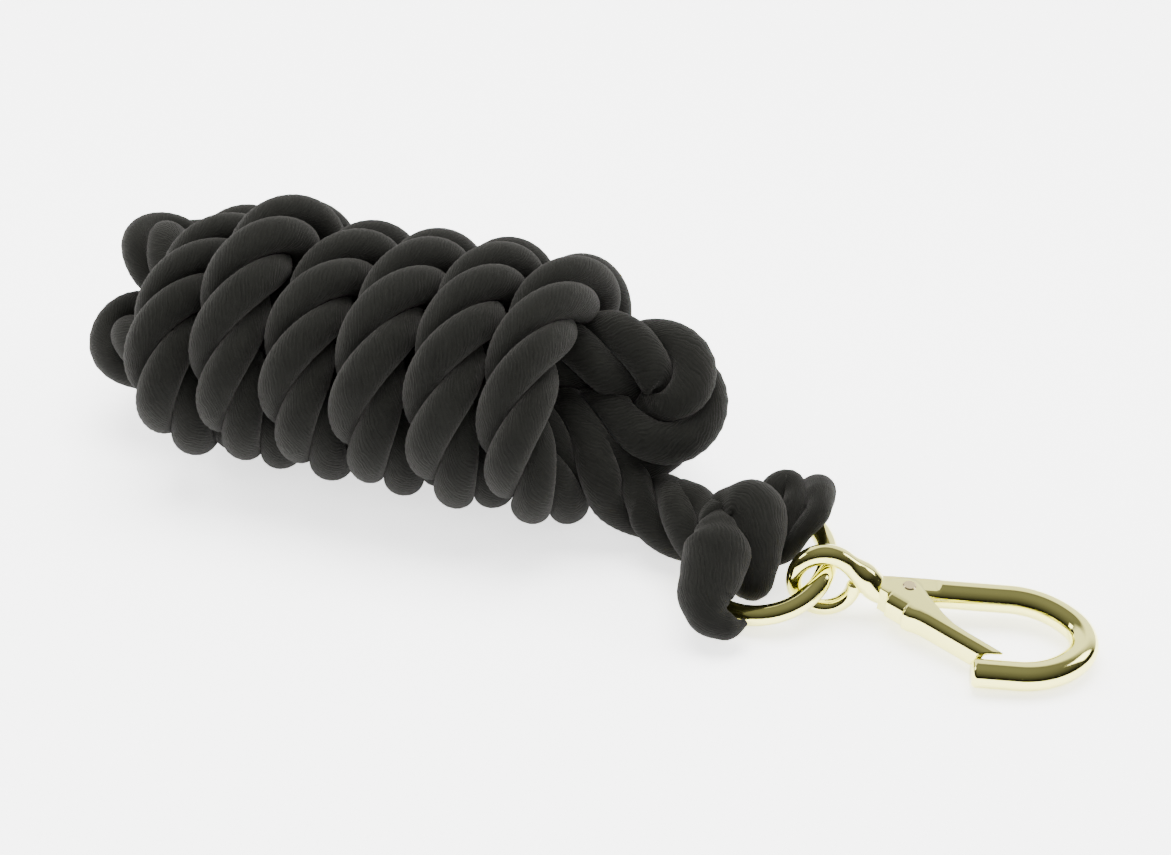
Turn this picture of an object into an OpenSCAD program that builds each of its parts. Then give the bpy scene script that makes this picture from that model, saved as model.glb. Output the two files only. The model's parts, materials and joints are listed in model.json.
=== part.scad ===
// Lead rope with a ring and a snap hook, stored as a wound hank.
// All lengths are in millimetres. +X runs along the whole part towards the hook, +Z is up,
// and the origin is on the surface that the part lies on, under the middle of its bounding box.

/* [Rope] */
// Diameter of the laid rope
rope_d = 25; // [24:0.5:26]
// Diameter of one strand where it goes round the ring
strand_d = 14; // [12:0.5:15]
// Length of the whipped far end that stands out of the hank
tail_length = 26; // [20:1:28]
// Length of the twine whipping
whipping_length = 12; // [8:1:14]

/* [Hank] */
// Number of turns round the folded core
turns = 6; // [6:1:6]
// Distance from one turn to the next along the hank
turn_pitch = 26.3; // [26:0.1:27]
// Half the width of a turn, measured to the middle of its rope
turn_half_width = 42; // [40:0.5:43]
// Half the height of a turn, measured to the middle of its rope
turn_half_height = 31.5; // [30:0.5:32]

/* [Ring] */
// Radius of the ring, measured to the middle of its bar
ring_radius = 22; // [21.8:0.1:22.2]
// Diameter of the ring's bar
ring_bar_d = 7; // [6.6:0.1:7.2]

/* [Hook] */
// Diameter of the hook's bar
bar_d = 9.5; // [9:0.1:9.6]
// Distance between the middles of the back arm and the nose arm
arm_gap = 34; // [33.5:0.1:34.5]
// Length of the straight back arm, from the rivet to the bow
back_arm_length = 33; // [32:0.5:34]
// Distance along the hook from the rivet to the end of the nose
nose_start = 18.5; // [18:0.1:19]
// Radius of the hook's eye, measured to the middle of its bar
eye_radius = 10; // [9.8:0.1:10.2]
// Diameter of the bar where it is drawn down to form the eye
eye_bar_d = 5.8; // [5.4:0.1:6.2]

/* [Gate] */
// Thickness of the gate's sheet metal
sheet = 1; // [0.9:0.1:1]
// Depth of the trough from the rivet's axis to its outer face
trough_depth = 9.9; // [9.8:0.1:10]
// Diameter of the rivet's shank
rivet_d = 3.6; // [3.4:0.1:3.7]
// Width of the leaf spring
leaf_width = 4; // [3:0.5:5]

/* [Hidden] */
$fn = 64;
rope_r = rope_d / 2;
rope_colour = [0.16, 0.16, 0.15];
gold = [0.83, 0.76, 0.46];

// Where the hank lies, and how it is turned about Z.
hank_pos = [-59, 29.2, 0];
hank_turn = -18.6;
hank_mid_z = turn_half_height + rope_r;
// A turn's outline is a slot: two half circles this far either side of the middle.
slot_half = turn_half_width - turn_half_height;
turn_bulge_r = turn_pitch / 2 + 0.1;
wound_half = turns * turn_pitch / 2;
core_run_length = 43;

// The free rope, from the eye splice to the hank. Each point is on the rope's middle line.
lead_points = [[43, -26, 14], [34, -19, 15], [26, -16, 19],
               [19, -14, 25], [12, -12, 31], [4, -9, 35]];
// The splice runs on from the free rope to the ring, and fans out there.
splice_start = [44, -27, 15];
splice_end = [59, -43, 19];
fan_start = [57, -38, 20];
fan_end = [68, -33, 20];
lead_steps = 4;
lead_sides = 12;

// The ring: its middle, and its tilt about X and then Y.
ring_pos = [74, -48.3, 12];
ring_tilt = [13, -13.5, 0];
ring_bar_r = ring_bar_d / 2;
soft_clearance = 0.35;
loop_grip = 0.9;
// Where the strands cross the ring, as angles round it from its X axis.
wide_loops = [221, 235, 98, 112];
narrow_loops = [47, 72];

// The hook's own frame: its origin is in the middle of the boss, x runs along the back arm
// towards the bow, and z is the rivet's direction.
hook_pos = [121.1, -61.5, 10.04];
hook_tilt = [5.8, 2.3, -4.2];
bar_r = bar_d / 2;
eye_bar_r = eye_bar_d / 2;
bow_big_r = 26;
bow_small_r = 12;
join_angle = 1;
join_step = 0.04;
bow_angle = acos((bow_big_r - arm_gap / 2) / (bow_big_r - bow_small_r));
eye_mid = [-27.7, 0.4, 1.6];
eye_twist = 75;
eye_from = 55;
eye_to = 345;
// The bar is at its full size up to the eye, and is then drawn down in two steps.
neck_r = 4;
neck_step_r = 3.4;
neck_step_to = 85;
boss_half_thickness = 3.7;
boss_from = -8.5;
boss_to = 16.5;
nose_chamfer = 1.2;

// The gate's own frame: its origin is on the rivet's axis, and x runs along the trough.
gate_pivot = [-0.2, -2, 0];
gate_angle = -36.3;
ear_gap = 0.15;
ear_inner = boss_half_thickness + ear_gap;
ear_outer = ear_inner + sheet;
ear_r = 5.2;
rivet_r = rivet_d / 2;
rivet_clearance = 0.05;
rivet_head_r = 2.3;
rivet_head_h = 0.4;
press = 0.02;
nose_gap = 0.25;
trough_tail = -3.6;
// Height in the hook's frame of the mitred end that rests behind the nose.
mitre_y = -arm_gap + bar_r + nose_gap;
mitre_depth_in = -5.4;
// Distance along the gate's frame from the pivot down to the mitre line.
mitre_drop = mitre_y - gate_pivot[1];
leaf_thick = 0.4;

module in_hook_frame() { translate(hook_pos) rotate(hook_tilt) children(); }

module in_ring_frame() { translate(ring_pos) rotate(ring_tilt) children(); }

module in_hank_frame() { translate(hank_pos) rotate([0, 0, hank_turn]) children(); }

// ---- Rope ----

// The outline of the wound turns, seen from the side: one round rim for each turn.
module turns_profile(reach) {
    translate([0, -wound_half]) square([reach, 2 * wound_half]);
    for (i = [0 : turns - 1])
        translate([reach, (i + 0.5) * turn_pitch - wound_half]) circle(turn_bulge_r);
}

// All the turns, as one solid with round ends and a slot-shaped section across X.
module wound_turns() {
    reach = turn_half_height + rope_r - turn_bulge_r;
    rotate([0, 90, 0]) {
        for (side = [0, 1])
            mirror([0, side, 0]) translate([0, slot_half, 0])
                rotate_extrude(angle = 180) turns_profile(reach);
        rotate([90, 0, 0])
            for (side = [0, 1])
                mirror([side, 0, 0])
                    linear_extrude(2 * slot_half, center = true) turns_profile(reach);
    }
}

// A fold of the core rope that stands out of the end of the hank.
module core_fold(reach, fold_r) {
    rotate([90, 0, 0]) {
        translate([reach, 0, 0]) rotate([0, 0, -90])
            rotate_extrude(angle = 180) translate([fold_r, 0]) circle(rope_r);
        for (side = [-1, 1])
            translate([0, side * fold_r, 0]) rotate([0, 90, 0]) cylinder(r = rope_r, h = reach);
        translate([0, -fold_r, -rope_r / 2]) cube([reach, 2 * fold_r, rope_r]);
    }
}

// A run of the core rope that stands out of the other end.
module core_run(start) {
    translate(start) rotate([0, -90, 0]) cylinder(r = rope_r - 1, h = core_run_length);
}

module rope_hank() {
    color(rope_colour) in_hank_frame() translate([0, 0, hank_mid_z]) {
        wound_turns();
        translate([0, -2, -4]) core_fold(112, 16);
        translate([0, -6, -5]) rotate([60, 0, 0]) mirror([1, 0, 0]) core_fold(99, 13);
        core_run([-60, 4, 14]);
        core_run([-60, 27, 6]);
    }
}

// Catmull-Rom point between p1 and p2 at t.
function spline(p0, p1, p2, p3, t) =
    0.5 * (2 * p1 + (p2 - p0) * t + (2 * p0 - 5 * p1 + 4 * p2 - p3) * t * t
           + (3 * p1 - p0 - 3 * p2 + p3) * t * t * t);

function clamped(list, i) = list[max(0, min(len(list) - 1, i))];

function smooth(list, steps) =
    concat([for (i = [0 : len(list) - 2], s = [0 : steps - 1])
        spline(clamped(list, i - 1), list[i], list[i + 1], clamped(list, i + 2), s / steps)],
        [list[len(list) - 1]]);

function unit(v) = v / norm(v);

// The ring of points round a route at index i.
function route_ring(route, i, r, sides) =
    let (along = unit(clamped(route, i + 1) - clamped(route, i - 1)),
         across = unit(cross(along, [0, 0, 1])),
         up = cross(across, along))
    [for (s = [0 : sides - 1])
        route[i] + r * (cos(360 * s / sides) * across + sin(360 * s / sides) * up)];

// A closed tube of radius r along the route.
module tube(route, r, sides) {
    rings = len(route);
    points = [for (i = [0 : rings - 1]) each route_ring(route, i, r, sides)];
    walls = [for (i = [0 : rings - 2], s = [0 : sides - 1])
        let (a = i * sides + s, b = i * sides + (s + 1) % sides) [a, b, b + sides, a + sides]];
    start_cap = [for (s = [sides - 1 : -1 : 0]) s];
    end_cap = [for (s = [0 : sides - 1]) (rings - 1) * sides + s];
    polyhedron(points, concat([start_cap], walls, [end_cap]), convexity = 6);
}

module rope_lead_out() {
    color(rope_colour) tube(smooth(lead_points, lead_steps), rope_r, lead_sides);
}

// The far end leaves the hank on its far side, under the fold.
module at_far_end() {
    in_hank_frame() translate([wound_half - 4, 27, 17]) rotate([0, 90, 4]) children();
}

module rope_far_end() {
    color(rope_colour) at_far_end() {
        cylinder(r = rope_r - 1, h = tail_length);
        translate([0, 0, tail_length]) intersection() {
            sphere(rope_r - 1);
            cylinder(r = rope_r, h = rope_r / 2);
        }
    }
}

module end_whipping() {
    color([0.2, 0.2, 0.19]) at_far_end()
        translate([0, 0, tail_length - whipping_length]) difference() {
            cylinder(r = rope_r, h = whipping_length - 1);
            translate([0, 0, -1]) cylinder(r = rope_r - 1, h = whipping_length + 1);
        }
}

// ---- Eye splice ----

// A round bar from a to b with a half ball on each end.
module capsule(a, b, r) {
    run = b - a;
    translate(a) rotate([0, acos(run[2] / norm(run)), atan2(run[1], run[0])]) rotate_extrude() {
        square([r, norm(run)]);
        intersection() {
            circle(r);
            translate([0, -r]) square(r);
        }
        translate([0, norm(run)]) intersection() {
            circle(r);
            square(r);
        }
    }
}

// One strand looped round the ring's bar at an angle round the ring.
module strand_loop(at, loop_r) {
    rotate([0, 0, at]) translate([ring_radius, 0, 0]) rotate([90, 0, 0])
        rotate_extrude() translate([ring_bar_r + loop_r - loop_grip, 0]) circle(loop_r);
}

module eye_splice() {
    color(rope_colour) difference() {
        union() {
            in_ring_frame() {
                for (at = wide_loops) strand_loop(at, strand_d / 2 - 0.5);
                for (at = narrow_loops) strand_loop(at, strand_d / 2 - 2);
            }
            capsule(splice_start, splice_end, rope_r);
            capsule(fan_start, fan_end, rope_r - 3);
        }
        in_ring_frame() rotate_extrude()
            translate([ring_radius, 0]) circle(ring_bar_r + soft_clearance);
        translate([0, -100, -60]) cube([150, 150, 60]);
    }
}

// ---- Ring and hook ----

module ring() {
    color(gold) in_ring_frame()
        rotate_extrude($fn = 96) translate([ring_radius, 0]) circle(ring_bar_r);
}

// Part of a round bar bent to radius r, from one angle to another about the Z axis.
module bent_bar(r, from, to, thickness_r) {
    rotate([0, 0, from]) rotate_extrude(angle = to - from, $fn = 96)
        translate([r, 0]) circle(thickness_r);
}

// A straight round bar between two points, which may taper.
module straight_bar(a, b, r1, r2) {
    run = b - a;
    translate(a) rotate([0, acos(run[2] / norm(run)), atan2(run[1], run[0])])
        cylinder(h = norm(run), r1 = r1, r2 = r2);
}

// The bow: two big arcs and a smaller one between them. Each arc runs a little way into the next
// piece, and the big arcs are a hair thicker, so that the pieces join cleanly.
module bow() {
    for (side = [0, 1])
        translate([back_arm_length, -arm_gap / 2, 0]) mirror([0, side, 0])
            translate([0, arm_gap / 2 - bow_big_r, 0])
                bent_bar(bow_big_r, 90 - bow_angle, 90 + join_angle, bar_r + join_step);
    translate([back_arm_length + (bow_big_r - bow_small_r) * sin(bow_angle), -arm_gap / 2, 0])
        bent_bar(bow_small_r, bow_angle - 90 - join_angle, 90 - bow_angle + join_angle, bar_r);
}

// The eye, and the neck that joins it to the boss.
module hook_eye() {
    neck_start = eye_mid + eye_radius * [cos(eye_from),
        sin(eye_from) * cos(eye_twist), sin(eye_from) * sin(eye_twist)];
    translate(eye_mid) rotate([eye_twist, 0, 0]) {
        bent_bar(eye_radius, eye_from, neck_step_to, neck_step_r);
        bent_bar(eye_radius, neck_step_to - 2, eye_to, eye_bar_r);
    }
    translate(neck_start) sphere(neck_r + 0.1);
    straight_bar(neck_start, [boss_from + 2, 0, 0], neck_r, bar_r - 0.3);
}

module hook_body() {
    color(gold) in_hook_frame() difference() {
        union() {
            hook_eye();
            translate([boss_from, 0, 0]) rotate([0, 90, 0])
                cylinder(r = bar_r, h = back_arm_length - boss_from);
            bow();
            translate([nose_start + nose_chamfer, -arm_gap, 0]) rotate([0, 90, 0])
                cylinder(r = bar_r, h = back_arm_length - nose_start - nose_chamfer);
            translate([nose_start, -arm_gap, 0]) rotate([0, 90, 0])
                cylinder(r1 = bar_r - nose_chamfer, r2 = bar_r, h = nose_chamfer);
        }
        for (side = [0, 1])
            mirror([0, 0, side]) translate([boss_from, -bar_d, boss_half_thickness])
                cube([boss_to - boss_from, 2 * bar_d, bar_d]);
        translate(gate_pivot) cylinder(r = rivet_r + rivet_clearance, h = 3 * bar_d, center = true);
    }
}

// ---- Gate ----

// Where the mitre line crosses a line that runs along the gate at this height.
function mitre_x(y) = (mitre_drop - y * cos(gate_angle)) / sin(gate_angle);

// The gate's side outline. The mitre lies along the nose, and the ear is round the rivet.
module gate_side() {
    circle(ear_r);
    polygon([[trough_tail, -trough_depth], [mitre_x(-trough_depth), -trough_depth],
             [mitre_x(mitre_depth_in), mitre_depth_in], [30, -5], [19.5, -3.9], [13, 0.2],
             [6, 3], [2, ear_r - 0.6], [0.3 - ear_r, -1.2], [trough_tail - 2.4, 2.2 - trough_depth]]);
}

// Things in the gate's own frame.
module in_gate_frame() {
    in_hook_frame() translate(gate_pivot) rotate([0, 0, gate_angle]) children();
}

module gate() {
    color(gold) in_gate_frame() difference() {
        union() {
            for (side = [0, 1])
                mirror([0, 0, side]) translate([0, 0, ear_inner])
                    linear_extrude(sheet) gate_side();
            translate([trough_tail, -trough_depth, -ear_outer])
                cube([mitre_x(-trough_depth) - trough_tail, sheet, 2 * ear_outer]);
        }
        cylinder(r = rivet_r - press, h = 3 * bar_d, center = true);
    }
}

module gate_rivet() {
    color([0.72, 0.62, 0.38]) in_gate_frame() {
        cylinder(r = rivet_r, h = 2 * ear_outer, center = true);
        for (side = [0, 1])
            mirror([0, 0, side]) translate([0, 0, ear_outer])
                cylinder(r1 = rivet_head_r, r2 = rivet_head_r - 0.5, h = rivet_head_h);
    }
}

// A bent leaf that lies on the trough's floor and presses on the boss.
module gate_spring() {
    floor_y = sheet - trough_depth - press;
    color([0.6, 0.6, 0.62]) in_gate_frame()
        linear_extrude(leaf_width, center = true)
            polygon([[26, floor_y], [26, floor_y + leaf_thick], [13.3, floor_y + leaf_thick],
                     [3, -1.5], [2.6, -1.9], [13, floor_y]]);
}

rope_hank();
rope_lead_out();
rope_far_end();
end_whipping();
eye_splice();
ring();
hook_body();
gate();
gate_rivet();
gate_spring();
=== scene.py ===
"""Lead rope: a three-strand rope wound as a hank, spliced round a ring that carries a snap hook."""
import json
import math
import random

import bpy
from mathutils import Euler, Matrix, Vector

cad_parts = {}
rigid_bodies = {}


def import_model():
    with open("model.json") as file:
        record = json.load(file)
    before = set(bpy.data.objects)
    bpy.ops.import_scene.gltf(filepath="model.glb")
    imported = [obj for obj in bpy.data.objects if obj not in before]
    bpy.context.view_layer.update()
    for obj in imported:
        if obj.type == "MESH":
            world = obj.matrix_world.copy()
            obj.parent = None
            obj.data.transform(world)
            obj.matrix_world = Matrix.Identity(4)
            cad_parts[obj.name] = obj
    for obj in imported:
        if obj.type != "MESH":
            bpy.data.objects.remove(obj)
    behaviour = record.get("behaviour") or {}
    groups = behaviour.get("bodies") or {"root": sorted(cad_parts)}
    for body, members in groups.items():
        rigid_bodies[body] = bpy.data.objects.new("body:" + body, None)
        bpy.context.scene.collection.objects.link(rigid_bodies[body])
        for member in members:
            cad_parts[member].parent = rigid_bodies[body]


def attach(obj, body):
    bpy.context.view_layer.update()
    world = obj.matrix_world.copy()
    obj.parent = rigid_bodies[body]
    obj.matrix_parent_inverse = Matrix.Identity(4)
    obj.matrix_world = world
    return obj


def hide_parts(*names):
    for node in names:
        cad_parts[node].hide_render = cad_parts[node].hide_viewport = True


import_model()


def write_bounds():
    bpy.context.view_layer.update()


write_bounds()
MM = 0.001
random.seed(7)

# ---------------------------------------------------------------- camera
CAMERA_AT = Vector((14.8, -570.8, 432.7)) * MM
CAMERA_DOWN = 35.0
camera_data = bpy.data.cameras.new("camera")
camera = bpy.data.objects.new("camera", camera_data)
bpy.context.scene.collection.objects.link(camera)
camera.location = CAMERA_AT
camera.rotation_euler = (math.radians(90 - CAMERA_DOWN), 0, 0)
camera_data.sensor_width = 36.0
camera_data.lens = 61.5
camera_data.clip_start = 0.01
bpy.context.scene.camera = camera


# ---------------------------------------------------------------- small tools
def link(name, verts, faces, uvs=None, smooth=True):
    mesh = bpy.data.meshes.new(name)
    mesh.from_pydata([tuple(v) for v in verts], [], faces)
    mesh.update()
    if uvs is not None:
        layer = mesh.uv_layers.new(name="yarn")
        flat = []
        for face_uv in uvs:
            for uv in face_uv:
                flat.extend(uv)
        layer.data.foreach_set("uv", flat)
    if smooth:
        mesh.polygons.foreach_set("use_smooth", [True] * len(mesh.polygons))
    obj = bpy.data.objects.new(name, mesh)
    bpy.context.scene.collection.objects.link(obj)
    return obj


def resample(points, step):
    dist = [0.0]
    for a, b in zip(points, points[1:]):
        dist.append(dist[-1] + (b - a).length)
    count = max(2, int(round(dist[-1] / step)))
    out, i = [], 0
    for k in range(count + 1):
        s = dist[-1] * k / count
        while i < len(points) - 2 and dist[i + 1] < s:
            i += 1
        gap = dist[i + 1] - dist[i]
        t = 0.0 if gap == 0 else (s - dist[i]) / gap
        out.append(points[i].lerp(points[i + 1], min(1.0, max(0.0, t))))
    return out, dist[-1]


def spline(points, step):
    """Centripetal Catmull-Rom through the points, in even steps."""
    pts = [2 * points[0] - points[1]] + list(points) + [2 * points[-1] - points[-2]]
    fine = []
    for p0, p1, p2, p3 in zip(pts, pts[1:], pts[2:], pts[3:]):
        t0 = 0.0
        t1 = t0 + math.sqrt((p1 - p0).length)
        t2 = t1 + math.sqrt((p2 - p1).length)
        t3 = t2 + math.sqrt((p3 - p2).length)
        n = max(3, int((p2 - p1).length / step * 2))
        for k in range(n):
            t = t1 + (t2 - t1) * k / n
            a1 = p0.lerp(p1, (t - t0) / (t1 - t0))
            a2 = p1.lerp(p2, (t - t1) / (t2 - t1))
            a3 = p2.lerp(p3, (t - t2) / (t3 - t2))
            b1 = a1.lerp(a2, (t - t0) / (t2 - t0))
            b2 = a2.lerp(a3, (t - t1) / (t3 - t1))
            fine.append(b1.lerp(b2, (t - t1) / (t2 - t1)))
    fine.append(points[-1].copy())
    return resample(fine, step)


def frames(points, up):
    """A frame (tangent, side, normal) at each point, carried along without twist."""
    out, normal = [], up.copy()
    for i in range(len(points)):
        a, b = points[max(0, i - 1)], points[min(len(points) - 1, i + 1)]
        tangent = (b - a).normalized()
        normal = (normal - tangent * normal.dot(tangent)).normalized()
        out.append((tangent, normal.cross(tangent), normal))
    return out


def skin(rings, uv_u, uv_v, closed_ends=True, first=0):
    """Faces and uvs between rings of equal size, as a closed tube."""
    sides = len(rings[0])
    verts = [v for ring in rings for v in ring]
    faces, uvs = [], []
    for i in range(len(rings) - 1):
        for s in range(sides):
            t = (s + 1) % sides
            a, b = i * sides + s, i * sides + t
            faces.append(tuple(first + x for x in (a, b, b + sides, a + sides)))
            u0, u1 = uv_u + s / sides, uv_u + (s + 1) / sides
            uvs.append(((u0, uv_v[i]), (u1, uv_v[i]), (u1, uv_v[i + 1]), (u0, uv_v[i + 1])))
    if closed_ends:
        n = (len(rings) - 1) * sides
        faces.append(tuple(first + s for s in range(sides - 1, -1, -1)))
        uvs.append(tuple((uv_u + s / sides, uv_v[0]) for s in range(sides - 1, -1, -1)))
        faces.append(tuple(first + n + s for s in range(sides)))
        uvs.append(tuple((uv_u + s / sides, uv_v[-1]) for s in range(sides)))
    return verts, faces, uvs


def blend(x, a, b):
    x = min(1.0, max(0.0, (x - a) / (b - a)))
    return x * x * (3 - 2 * x)


# ---------------------------------------------------------------- the rope's route
HANK_AT = Vector((-59.0, 29.2, 0.0))
HANK_TURN = math.radians(-18.6)
ROPE_D = 25.0
ROPE_R = ROPE_D / 2
TURNS, PITCH = 6, 26.3
HALF_W, HALF_H = 42.0, 31.5
MID_Z = HALF_H + ROPE_R
FIRST_FRONT = -65.75
FRONT_IN = 2.8
SHEAR = 7.0


def from_hank(p):
    v = Vector(p)
    v.rotate(Euler((0, 0, HANK_TURN)))
    return v + HANK_AT


def wrap_point(phi):
    """A point on the turns: phi is 0 on top and goes down over the front."""
    y = -(HALF_W - FRONT_IN * (math.sin(phi) > 0)) * math.sin(phi)
    x = FIRST_FRONT + PITCH * (phi - math.pi / 2) / (2 * math.pi) + SHEAR + SHEAR * y / HALF_W
    turn = int(math.floor((phi + math.pi / 2) / (2 * math.pi)))
    lift = {0: -5.0, 1: 7.0, 3: 2.5, 4: 3.5, 5: 1.0}.get(turn, 0.0)
    return (x, y, MID_Z + HALF_H * math.cos(phi) + lift * max(0.0, math.cos(phi)) ** 1.4)


LEAD_OUT = [(60, -45, 19), (53, -36, 16.5), (44, -27, 14.5), (35, -20, 15), (26, -17, 19)]
CORE = [
    (89, -17, 25), (78, -14.5, 32), (64, -13.5, 37), (40, -13, 38), (-20, -13, 38), (-62, -13, 37),
    (-86, -13, 35), (-99, -7, 32), (-102, 4, 32.5), (-92, 13, 35), (-68, 15, 38), (0, 14, 38),
    (50, 6, 36), (68, 0, 33), (84, -5, 34.5), (98, -5, 34), (108.5, -1, 37.5), (112, 6, 45),
    (108, 11, 52.5), (97, 11.5, 55.5), (82, 9, 56), (62, 6, 56), (0, 1, 55), (-40, 4, 61),
    (-62, 3, 60), (-84, 6, 60), (-95, 14, 62), (-99, 26, 57), (-93, 37, 50),
]
SWELL_AT, SWELL_REACH, SWELL = Vector((98, 2, 44)), 34.0, 0.22
TAIL = [(83, 12, 13), (89, 21, 14.5), (97, 26, 16.5), (105, 28.4, 17)]

route = [Vector(p) for p in LEAD_OUT] + [from_hank(p) for p in CORE]
phi = -0.42 * math.pi
while phi < 2 * math.pi * (TURNS - 1) + 1.02 * math.pi:
    route.append(from_hank(wrap_point(phi)))
    phi += math.pi / 9
route += [from_hank(p) for p in TAIL]
centre, rope_length = spline(route, 2.4)
print("rope length", round(rope_length, 1), "mm in", len(centre), "rings")

# ---------------------------------------------------------------- materials
def new_material(name):
    mat = bpy.data.materials.new(name)
    mat.use_nodes = True
    nodes, links = mat.node_tree.nodes, mat.node_tree.links
    return mat, nodes, links, nodes["Principled BSDF"]


def maths(nodes, links, op, a, b=None, c=None):
    node = nodes.new("ShaderNodeMath")
    node.operation = op
    for i, x in enumerate((a, b, c)):
        if x is None:
            continue
        if isinstance(x, (int, float)):
            node.inputs[i].default_value = x
        else:
            links.new(x, node.inputs[i])
    return node.outputs[0]


def noise(nodes, links, vector, scale, detail=3.0, rough=0.55):
    node = nodes.new("ShaderNodeTexNoise")
    node.inputs["Scale"].default_value = scale
    node.inputs["Detail"].default_value = detail
    node.inputs["Roughness"].default_value = rough
    links.new(vector, node.inputs["Vector"])
    return node.outputs["Fac"]


def cotton(name, dark, light, yarns, yarn_pitch, bump=0.00022):
    """Spun cotton: yarns that run round the strand against its lay, with fibres along them."""
    mat, nodes, links, shader = new_material(name)
    uv = nodes.new("ShaderNodeUVMap")
    uv.uv_map = "yarn"
    split = nodes.new("ShaderNodeSeparateXYZ")
    links.new(uv.outputs[0], split.inputs[0])
    coord = nodes.new("ShaderNodeTexCoord")
    u, v = split.outputs[0], split.outputs[1]
    wander = noise(nodes, links, coord.outputs["Object"], 130.0, 2.0)
    wander = maths(nodes, links, "MULTIPLY_ADD", wander, 3.0, -1.5)
    along = maths(nodes, links, "MULTIPLY", v, 1.0 / yarn_pitch)
    turned = maths(nodes, links, "ADD", u, along)
    lines = maths(nodes, links, "MULTIPLY_ADD", turned, float(yarns), wander)
    wave = maths(nodes, links, "SINE", maths(nodes, links, "MULTIPLY", lines, 2 * math.pi))
    wave = maths(nodes, links, "MULTIPLY_ADD", wave, 0.5, 0.5)
    soft = maths(nodes, links, "POWER", wave, 0.6)
    # fibres: noise stretched along the yarns
    fibre_v = nodes.new("ShaderNodeCombineXYZ")
    links.new(maths(nodes, links, "MULTIPLY", lines, 3.1), fibre_v.inputs[0])
    links.new(maths(nodes, links, "MULTIPLY", v, 160.0), fibre_v.inputs[1])
    fibre = noise(nodes, links, fibre_v.outputs[0], 1.0, 4.0, 0.6)
    fluff = noise(nodes, links, coord.outputs["Object"], 900.0, 3.0, 0.65)
    patch = noise(nodes, links, coord.outputs["Object"], 60.0, 2.0, 0.5)
    height = maths(nodes, links, "MULTIPLY_ADD", fibre, 1.5, maths(nodes, links, "MULTIPLY", soft, 0.4))
    height = maths(nodes, links, "MULTIPLY_ADD", fluff, 0.35, height)
    bump_node = nodes.new("ShaderNodeBump")
    bump_node.inputs["Strength"].default_value = 1.0
    bump_node.inputs["Distance"].default_value = bump
    links.new(height, bump_node.inputs["Height"])
    links.new(bump_node.outputs[0], shader.inputs["Normal"])
    tone = maths(nodes, links, "MULTIPLY_ADD", soft, 0.22, -0.25)
    tone = maths(nodes, links, "MULTIPLY_ADD", fibre, 1.25, tone)
    tone = maths(nodes, links, "MULTIPLY_ADD", patch, 0.5, maths(nodes, links, "ADD", tone, -0.25))
    mix = nodes.new("ShaderNodeMix")
    mix.data_type = "RGBA"
    mix.clamp_factor = True
    links.new(tone, mix.inputs["Factor"])
    mix.inputs[6].default_value = (*dark, 1)
    mix.inputs[7].default_value = (*light, 1)
    links.new(mix.outputs[2], shader.inputs["Base Color"])
    shader.inputs["Roughness"].default_value = 0.95
    shader.inputs["Specular IOR Level"].default_value = 0.12
    shader.inputs["Sheen Weight"].default_value = 0.06
    shader.inputs["Sheen Roughness"].default_value = 0.45
    shader.inputs["Sheen Tint"].default_value = (0.9, 0.87, 0.82, 1)
    return mat


def gold(name, colour, rough, scratch=0.00001):
    mat, nodes, links, shader = new_material(name)
    coord = nodes.new("ShaderNodeTexCoord")
    smear = noise(nodes, links, coord.outputs["Object"], 90.0, 3.0)
    fine = noise(nodes, links, coord.outputs["Object"], 1400.0, 2.0)
    links.new(maths(nodes, links, "MULTIPLY_ADD", smear, 0.10, rough - 0.04), shader.inputs["Roughness"])
    mix = nodes.new("ShaderNodeMix")
    mix.data_type = "RGBA"
    links.new(smear, mix.inputs["Factor"])
    mix.inputs[6].default_value = (colour[0] * 0.97, colour[1] * 0.96, colour[2] * 0.93, 1)
    mix.inputs[7].default_value = (*colour, 1)
    links.new(mix.outputs[2], shader.inputs["Base Color"])
    shader.inputs["Metallic"].default_value = 1.0
    bump_node = nodes.new("ShaderNodeBump")
    bump_node.inputs["Distance"].default_value = scratch
    bump_node.inputs["Strength"].default_value = 0.4
    links.new(maths(nodes, links, "ADD", fine, smear), bump_node.inputs["Height"])
    links.new(bump_node.outputs[0], shader.inputs["Normal"])
    return mat


COTTON_DARK = (0.0026, 0.0026, 0.0022)
COTTON_LIGHT = (0.0088, 0.0090, 0.0076)
rope_mat = cotton("black cotton", COTTON_DARK, COTTON_LIGHT, 36, 0.030)
splice_mat = cotton("black cotton, splice", COTTON_DARK, COTTON_LIGHT, 46, 0.16)
twine_mat = cotton("black twine", (0.012, 0.011, 0.010), (0.045, 0.042, 0.038), 4, 0.004)
gold_mat = gold("pale gold plating", (0.90, 0.87, 0.29), 0.08)
rivet_mat = gold("pale gold rivet", (0.74, 0.62, 0.33), 0.22)
steel_mat = gold("spring steel", (0.55, 0.55, 0.56), 0.3)


def paint(obj, mat):
    obj.data.materials.clear()
    obj.data.materials.append(mat)


# ---------------------------------------------------------------- the rope
LAY = 66.0
CREST_R, ROLL_OFF, GROOVE = 13.1, 2.4, 2.8
OUTER_SIDES = 20
# fitted: at the front of each turn a crest faces the viewer, moved up by this much of a
# strand's spacing, so the lay isn't quite even from turn to turn
CREST_SHIFT = [0.10, 0.48, 0.0, -0.12, 0.42, 0.28]


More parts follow.
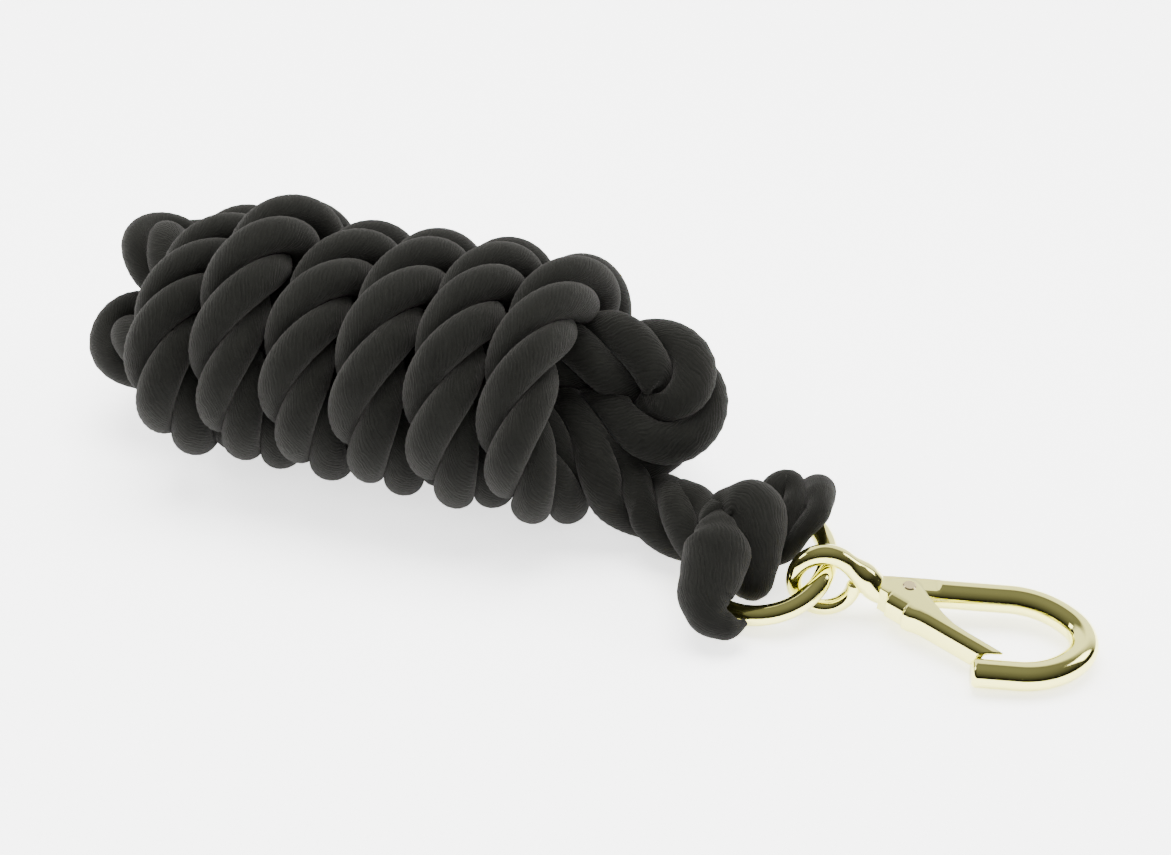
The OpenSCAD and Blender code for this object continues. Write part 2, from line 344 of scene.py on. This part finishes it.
def sector():
    """A strand's cross-section: a third of the rope, its crest rounded down into the grooves."""
    out = []
    for i in range(OUTER_SIDES + 1):
        x = 2 * i / OUTER_SIDES - 1
        x = math.sin(x * math.pi / 2)
        dip = ROLL_OFF * abs(x) ** 2.2 + GROOVE * (1 - math.sqrt(max(0.0, 1 - x * x)))
        out.append((math.radians(59.8 * x), CREST_R - dip))
    return out + [(math.radians(59.5), 6.0), (0.0, 0.3), (math.radians(-59.5), 6.0)]


def lay_angles(points, base):
    """The rope's twist at each point: the lay, eased so that a crest lands where CREST_SHIFT says."""
    dist = [0.0]
    for a, b in zip(points, points[1:]):
        dist.append(dist[-1] + (b - a).length)
    view = Vector((0, -math.cos(math.radians(CAMERA_DOWN)), math.sin(math.radians(CAMERA_DOWN))))
    third, knots = 2 * math.pi / 3, []
    for turn in range(TURNS):
        at = from_hank(wrap_point(math.pi / 2 + 2 * math.pi * turn))
        i = min(range(len(points)), key=lambda j: (points[j] - at).length)
        tangent, side, normal = base[i]
        wanted = math.atan2(view.dot(normal), view.dot(side)) + CREST_SHIFT[turn] * third
        expected = knots[-1][1] + 2 * math.pi * (dist[i] - knots[-1][0]) / LAY if knots else wanted
        knots.append((dist[i], wanted + third * round((expected - wanted) / third)))
    out = []
    for d in dist:
        if d <= knots[0][0]:
            out.append(knots[0][1] + 2 * math.pi * (d - knots[0][0]) / LAY)
        elif d >= knots[-1][0]:
            out.append(knots[-1][1] + 2 * math.pi * (d - knots[-1][0]) / LAY)
        else:
            (d0, a0), (d1, a1) = [(p, q) for p, q in zip(knots, knots[1:]) if p[0] <= d <= q[0]][0]
            out.append(a0 + (a1 - a0) * (d - d0) / (d1 - d0))
    return out


def rope_strand(points, base, twist, phase):
    section = sector()
    rings, vs, total = [], [], 0.0
    for i, p in enumerate(points):
        if i:
            total += (p - points[i - 1]).length
        tangent, side, normal = base[i]
        theta = phase + twist[i]
        loose = 1 + SWELL * (1 - blend((p - SWELL_MID).length, 16, SWELL_REACH))
        loose *= 1 - 0.05 * math.sin(total / 23.0 + phase)
        ring = [p + (side * math.cos(theta + a) + normal * math.sin(theta + a)) * (r * loose)
                for a, r in section]
        rings.append([Vector((q.x, q.y, max(q.z, 0.2))) * MM for q in ring])
        vs.append(total * MM)
    return rings, vs


SWELL_MID = from_hank(SWELL_AT)
centre_frames = frames(centre, Vector((0, 0, 1)))
twist = lay_angles(centre, centre_frames)
verts, faces, uvs = [], [], []
for k in range(3):
    rings, vs = rope_strand(centre, centre_frames, twist, 2 * math.pi * k / 3)
    v, f, t = skin(rings, float(k), vs, first=len(verts))
    verts += v
    faces += f
    uvs += t
rope = link("rope", verts, faces, uvs)
paint(rope, rope_mat)
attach(rope, "rope")
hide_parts("rope_hank", "rope_lead_out", "rope_far_end")

# the whipping on the far end: a twine wound round the rope
tail = centre[-9:-2]
tail_frames = frames(tail, Vector((0, 0, 1)))
whip_points = []
WHIP_TURNS, WHIP_R, TWINE_R = 9, ROPE_R - 0.1, 0.62
steps = WHIP_TURNS * 28
for n in range(steps + 1):
    s = n / steps * (len(tail) - 1)
    i = min(int(s), len(tail) - 2)
    f = s - i
    p = tail[i].lerp(tail[i + 1], f)
    side = tail_frames[i][1].lerp(tail_frames[i + 1][1], f).normalized()
    normal = tail_frames[i][2].lerp(tail_frames[i + 1][2], f).normalized()
    a = 2 * math.pi * WHIP_TURNS * n / steps
    whip_points.append(p + (side * math.cos(a) + normal * math.sin(a)) * WHIP_R)
rings = [[(p + (side * math.cos(2 * math.pi * s / 8) + normal * math.sin(2 * math.pi * s / 8)) * TWINE_R) * MM
          for s in range(8)]
         for p, (tangent, side, normal) in zip(whip_points, frames(whip_points, Vector((0, 0, 1))))]
v, f, t = skin(rings, 0.0, [i * MM for i in range(len(rings))])
whipping = link("end_whipping_twine", v, f, t)
paint(whipping, twine_mat)
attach(whipping, "rope")
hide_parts("end_whipping")

# ---------------------------------------------------------------- ring and splice
RING_AT = Vector((74, -48.3, 12))
RING_TILT = Euler((math.radians(13), math.radians(-13.5), 0))
RING_R, RING_BAR = 22.0, 3.5


def from_ring(p):
    v = Vector(p)
    v.rotate(RING_TILT)
    return v + RING_AT


rings = []
for i in range(160):
    a = 2 * math.pi * i / 160
    out = Vector((math.cos(a), math.sin(a), 0))
    rings.append([from_ring(out * (RING_R + RING_BAR * math.cos(2 * math.pi * s / 32))
                            + Vector((0, 0, RING_BAR * math.sin(2 * math.pi * s / 32)))) * MM
                  for s in range(32)])
rings.append(rings[0])
v, f, t = skin(rings[:-1], 0.0, [i / 160 for i in range(160)], closed_ends=False)
for s in range(32):
    n = 159 * 32
    f.append((n + s, n + (s + 1) % 32, (s + 1) % 32, s))
    t.append(((0, 0), (0, 1), (1, 1), (1, 0)))
ring = link("ring", v, f, t)
paint(ring, gold_mat)
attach(ring, "ring")
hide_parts("ring")


def strand_tube(name, points, radii, mat, squash=1.0, sides=30, step=1.2):
    """One free strand: a tube with its own yarns and a radius that changes along it."""
    fine, length = spline([Vector(p) for p in points], step)
    base = frames(fine, Vector((0, 0, 1)))
    rings, vs, total = [], [], 0.0
    for i, p in enumerate(fine):
        if i:
            total += (p - fine[i - 1]).length
        x = total / length * (len(radii) - 1)
        j = min(int(x), len(radii) - 2)
        w = x - j
        w = w * w * (3 - 2 * w)
        r = radii[j] * (1 - w) + radii[j + 1] * w
        tangent, side, normal = base[i]
        ring_points = []
        for s in range(sides):
            a = 2 * math.pi * s / sides
            q = p + side * (r * squash * math.cos(a)) + normal * (r * math.sin(a))
            q.z = max(q.z, 0.3)
            ring_points.append(q * MM)
        rings.append(ring_points)
        vs.append(total * MM)
    v, f, t = skin(rings, random.random(), vs)
    obj = link(name, v, f, t)
    paint(obj, mat)
    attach(obj, "rope")
    return obj


# each splice strand: its centreline's points, its radius along them, and how much wider than high it is
SPLICE = {
    "splice_strand_left": (
        [(47, -24, 22), (54, -33, 24.5), (58, -44, 25), (58.5, -54, 23.5), (56, -63, 19.5),
         (53.5, -70.5, 14.5),
         (56, -75.7, 10.5), (59.5, -77.3, 9), (63, -77, 8.3), (65.3, -76, 8.3), (66.6, -75, 8.5)],
        [5.5, 5.6, 4.8, 4.9, 7.6, 10.5, 9.9, 8.7, 7.0, 4.5, 1.2], 1.08),
    "splice_strand_middle": (
        [(57, -38, 20), (64, -37, 25), (71, -42, 27.5), (71.8, -49, 23), (71.5, -53.5, 15.5),
         (70.5, -55.5, 9),
         (67.5, -52, 5)],
        [6.0, 8.0, 10.8, 9.8, 8.0, 6.6, 4.5], 1.0),
    "splice_strand_right": (
        [(84, -23, 12), (90, -20.5, 18), (94.2, -24.5, 24), (93.6, -33, 27), (92, -41.5, 27.2),
         (86.5, -45.5, 22.5), (81, -46.5, 15), (76, -45, 12)],
        [4.0, 5.2, 5.7, 5.3, 4.2, 3.7, 4.0, 4], 1.0),
    "splice_strand_thin": (
        [(76, -34, 24), (79.5, -27.5, 27.5), (83.5, -25.5, 28), (85.5, -30, 28), (84.5, -37, 26.5),
         (81, -43, 21.5), (77, -45, 16)],
        [4.0, 4.9, 4.7, 3.9, 4.2, 4.6, 4.5], 1.0),
}
for strand_name, (strand_points, strand_radii, widen) in SPLICE.items():
    strand = strand_tube(strand_name, strand_points, strand_radii, splice_mat, widen)
    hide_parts("eye_splice")

# ---------------------------------------------------------------- hook
HOOK_AT = Vector((121.1, -61.5, 10.04))
HOOK_TILT = Euler((math.radians(5.8), math.radians(2.3), math.radians(-4.2)))
BAR_R, ARM_GAP, BACK_ARM = 4.75, 34.0, 33.0
BIG_R, SMALL_R = 26.0, 12.0
NOSE_START = 18.5
EYE_MID = Vector((-27.7, 0.4, 1.6))
EYE_R, EYE_TWIST = 10.0, math.radians(75)


def from_hook(p):
    v = Vector(p)
    v.rotate(HOOK_TILT)
    return v + HOOK_AT


def arc(cx, cy, r, a0, a1, n):
    return [Vector((cx + r * math.cos(math.radians(a0 + (a1 - a0) * i / n)),
                    cy + r * math.sin(math.radians(a0 + (a1 - a0) * i / n)), 0)) for i in range(n + 1)]


def eye_point(deg):
    a = math.radians(deg)
    return EYE_MID + EYE_R * Vector((math.cos(a), math.sin(a) * math.cos(EYE_TWIST),
                                     math.sin(a) * math.sin(EYE_TWIST)))


bow_angle = math.degrees(math.acos((BIG_R - ARM_GAP / 2) / (BIG_R - SMALL_R)))
small_x = BACK_ARM + (BIG_R - SMALL_R) * math.sin(math.radians(bow_angle))
bar = [eye_point(a) for a in range(365, 55, -5)]
bar += [eye_point(55), Vector((-15.3, 1.45, 4.6)), Vector((-10, 0.1, 0.2)), Vector((-5, 0, 0))]
bar += [Vector((x, 0, 0)) for x in range(0, int(BACK_ARM), 4)]
bar += arc(BACK_ARM, -BIG_R, BIG_R, 90, 90 - bow_angle, 12)
bar += arc(small_x, -ARM_GAP / 2, SMALL_R, 90 - bow_angle, bow_angle - 90, 14)[1:]
bar += arc(BACK_ARM, BIG_R - ARM_GAP, BIG_R, bow_angle - 90, -90, 12)[1:]
bar += [Vector((x, -ARM_GAP, 0)) for x in (30, 27, 24)] + [Vector((NOSE_START, -ARM_GAP, 0))]
bar_line, bar_length = spline(bar, 0.45)
start_index = min(range(len(bar_line)), key=lambda i: (bar_line[i] - Vector((0, 0, 0))).length)
forward = frames(bar_line[start_index:], Vector((0, 0, 1)))
backward = frames(bar_line[start_index::-1], Vector((0, 0, 1)))
bar_frames = [(-t, -s, n) for t, s, n in backward[:0:-1]] + forward


def bar_radius(p, i):
    if i < start_index:
        from_end = i / start_index
        return 2.7 + 0.75 * blend(from_end, 0.36, 0.60) + (BAR_R - 3.45) * blend(from_end, 0.70, 0.80)
    return BAR_R


rings, vs = [], []
SIDES = 48
for i, p in enumerate(bar_line):
    tangent, side, normal = bar_frames[i]
    r = bar_radius(p, i)
    left_over = min(i, len(bar_line) - 1 - i) * 0.45
    trim = 0.9 if left_over == 0 else (0.45 if left_over < 0.6 else (0.12 if left_over < 1.1 else 0.0))
    r -= trim
    flat = 99.0
    if abs(p.y) < 3 and i > start_index - 40:
        flat = BAR_R - (BAR_R - 3.7) * blend(p.x, -12.0, -11.0) * (1 - blend(p.x, 9.2, 10.6))
        if flat > BAR_R - 0.001:
            flat = 99.0
    ring_pts = []
    for s in range(SIDES):
        a = 2 * math.pi * s / SIDES
        y, z = r * math.cos(a), max(-flat, min(flat, r * math.sin(a)))
        ring_pts.append(from_hook(p + side * y + normal * z) * MM)
    rings.append(ring_pts)
    vs.append(i * 0.45 * MM)
v, f, t = skin(rings, 0.0, vs)
hook = link("hook_body", v, f, t)
paint(hook, gold_mat)
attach(hook, "hook")
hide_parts("hook_body")

# ---------------------------------------------------------------- gate
GATE_PIVOT = Vector((-0.2, -2.0, 0))
GATE_TURN = math.radians(-36.3)
TROUGH, SHEET, GATE_HALF = 9.9, 1.0, 4.85
MITRE = -ARM_GAP + BAR_R + 0.25 - GATE_PIVOT.y
# the gate's side view along the trough: its upper edge, and the outer face of its web
EDGE = [(-6.4, -3.4), (-6.1, -2.2), (-5.5, -1.0), (-4.4, 0.9), (-3.0, 2.4), (-1.6, 3.4), (0.0, 3.8),
        (1.6, 3.6), (3.2, 2.8), (4.9, 1.7), (8.0, -0.1), (12.0, -1.75), (16.0, -3.4), (19.0, -4.6),
        (22.0, -4.9),
        (36.5, -5.1)]
WEB = [(-6.4, -7.7), (-3.4, -7.7), (-2.6, -8.6), (-2.2, -10.3), (4.3, -10.2), (4.9, -11.2), (7.0, -11.1),
       (9.2, -10.3), (12, -9.9), (40, -9.6)]
CORNER = 3.0


def from_gate(x, y, z):
    v = Vector((x, y, z))
    v.rotate(Euler((0, 0, GATE_TURN)))
    return from_hook(v + GATE_PIVOT)


def along(line, x):
    for (x0, y0), (x1, y1) in zip(line, line[1:]):
        if x <= x1:
            return y0 + (y1 - y0) * max(0.0, (x - x0) / (x1 - x0))
    return line[-1][1]


def mitre_x(y):
    return (MITRE - y * math.cos(GATE_TURN)) / math.sin(GATE_TURN)


web_end = mitre_x(-TROUGH)
STEP = 0.25
stations = [EDGE[0][0] + STEP * i for i in range(int(24 / STEP))]
stations += [stations[-1] + (web_end - stations[-1]) * i / 24 for i in range(1, 25)]
rings, vs = [], []
for x in stations:
    t = (x - stations[0]) / (web_end - stations[0])
    y0, y1 = along(WEB, x), along(EDGE, x)
    tail = 1 - blend(x, -3.4, -2.2)
    corner = min(CORNER, max(0.4, (y1 - y0) * 0.9)) * (1 - tail) + 0.4 * tail
    shift = blend(t, 0.55, 1.0)
    outline = []
    for inner in (0, 1):
        w = GATE_HALF - SHEET * inner
        low = y0 + SHEET * inner
        c = max(0.25, corner - SHEET * inner)
        leg = [(w, y1 + (low + c - y1) * k / 6) for k in range(7)]
        bends = [math.radians(90 * k / 8) for k in range(1, 9)]
        half_path = leg + [(w - c + c * math.cos(a), low + c - c * math.sin(a)) for a in bends]
        full_path = half_path + [(-z, y) for z, y in reversed(half_path)]
        outline += full_path if inner == 0 else list(reversed(full_path))
    rings.append([from_gate(x + (mitre_x(y) - web_end) * shift, y, z) * MM for z, y in outline])
    vs.append(x * MM)
v, f, t = skin(rings, 0.0, vs)
gate = link("gate", v, f, t)
paint(gate, gold_mat)
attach(gate, "gate")
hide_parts("gate")

# ---------------------------------------------------------------- CAD nodes that stay
for name, mat in (("gate_rivet", rivet_mat), ("gate_spring", steel_mat)):
    for obj in bpy.data.objects:
        if obj.type == "MESH" and obj.name.split(".")[0] == name:
            for material_slot in obj.material_slots:
                material_slot.material = mat

# ---------------------------------------------------------------- floor and light
floor_mesh = bpy.data.meshes.new("floor")
FLOOR = 6.0
floor_corners = [(-FLOOR, -FLOOR, 0), (FLOOR, -FLOOR, 0), (FLOOR, FLOOR, 0), (-FLOOR, FLOOR, 0)]
floor_mesh.from_pydata(floor_corners, [], [(0, 1, 2, 3)])
floor = bpy.data.objects.new("floor", floor_mesh)
bpy.context.scene.collection.objects.link(floor)
floor_mat, floor_nodes, floor_links, floor_shader = new_material("floor white")
floor_shader.inputs["Base Color"].default_value = (0.93, 0.93, 0.93, 1)
floor_shader.inputs["Roughness"].default_value = 0.9
floor_shader.inputs["Specular IOR Level"].default_value = 0.1
floor_shader.inputs["Emission Color"].default_value = (1, 1, 1, 1)
floor_shader.inputs["Emission Strength"].default_value = 1.8
floor.data.materials.append(floor_mat)


def area(name, at, aim, size, size_y, power):
    data = bpy.data.lights.new(name, "AREA")
    data.shape = "RECTANGLE"
    data.size, data.size_y, data.energy = size, size_y, power
    obj = bpy.data.objects.new(name, data)
    bpy.context.scene.collection.objects.link(obj)
    obj.location = at
    obj.rotation_euler = (Vector(aim) - Vector(at)).to_track_quat("-Z", "Y").to_euler()
    return obj


for soft in (area("top", (0.0, 0.35, 1.5), (0, 0, 0), 1.4, 1.0, 78),
             area("front", (0.0, -1.2, 1.2), (0, 0, 0), 1.8, 0.8, 26),
             area("left fill", (-1.4, 0.2, 1.0), (0, 0, 0), 1.2, 1.0, 22),
             area("right fill", (1.4, 0.2, 1.0), (0, 0, 0), 1.2, 1.0, 22)):
    soft.visible_glossy = False
area("left", (-1.2, 0.2, 0.8), (0, 0, 0.02), 0.45, 0.6, 6)
area("right", (1.2, 0.0, 0.8), (0, 0, 0.02), 0.45, 0.6, 6)

world = bpy.data.worlds.new("studio")
bpy.context.scene.world = world
world.use_nodes = True
wn, wl = world.node_tree.nodes, world.node_tree.links
coord = wn.new("ShaderNodeTexCoord")
split = wn.new("ShaderNodeSeparateXYZ")
wl.new(coord.outputs["Generated"], split.inputs[0])


def ramp(value, stops):
    node = wn.new("ShaderNodeValToRGB")
    wl.new(value, node.inputs[0])
    elements = node.color_ramp.elements
    elements[0].position, elements[0].color = stops[0][0], (stops[0][1],) * 3 + (1,)
    elements[1].position, elements[1].color = stops[-1][0], (stops[-1][1],) * 3 + (1,)
    for position, grey in stops[1:-1]:
        elements.new(position).color = (grey,) * 3 + (1,)
    return node.outputs[0]


# a mid grey ceiling that darkens towards the horizon, and a white wall behind the object
ceiling = ramp(split.outputs[2], [(0.0, 0.005), (0.25, 0.025), (0.5, 0.11), (0.8, 0.21), (1.0, 0.30)])
wall = maths(wn, wl, "MULTIPLY", ramp(split.outputs[1], [(0.25, 0.0), (0.55, 1.0)]),
             ramp(split.outputs[2], [(0.76, 1.0), (0.86, 0.0)]))
light = wn.new("ShaderNodeMix")
light.data_type = "RGBA"
wl.new(wall, light.inputs["Factor"])
wl.new(ceiling, light.inputs[6])
light.inputs[7].default_value = (2.2, 2.2, 2.2, 1)
wl.new(light.outputs[2], wn["Background"].inputs["Color"])
wn["Background"].inputs["Strength"].default_value = 1.0

write_bounds()
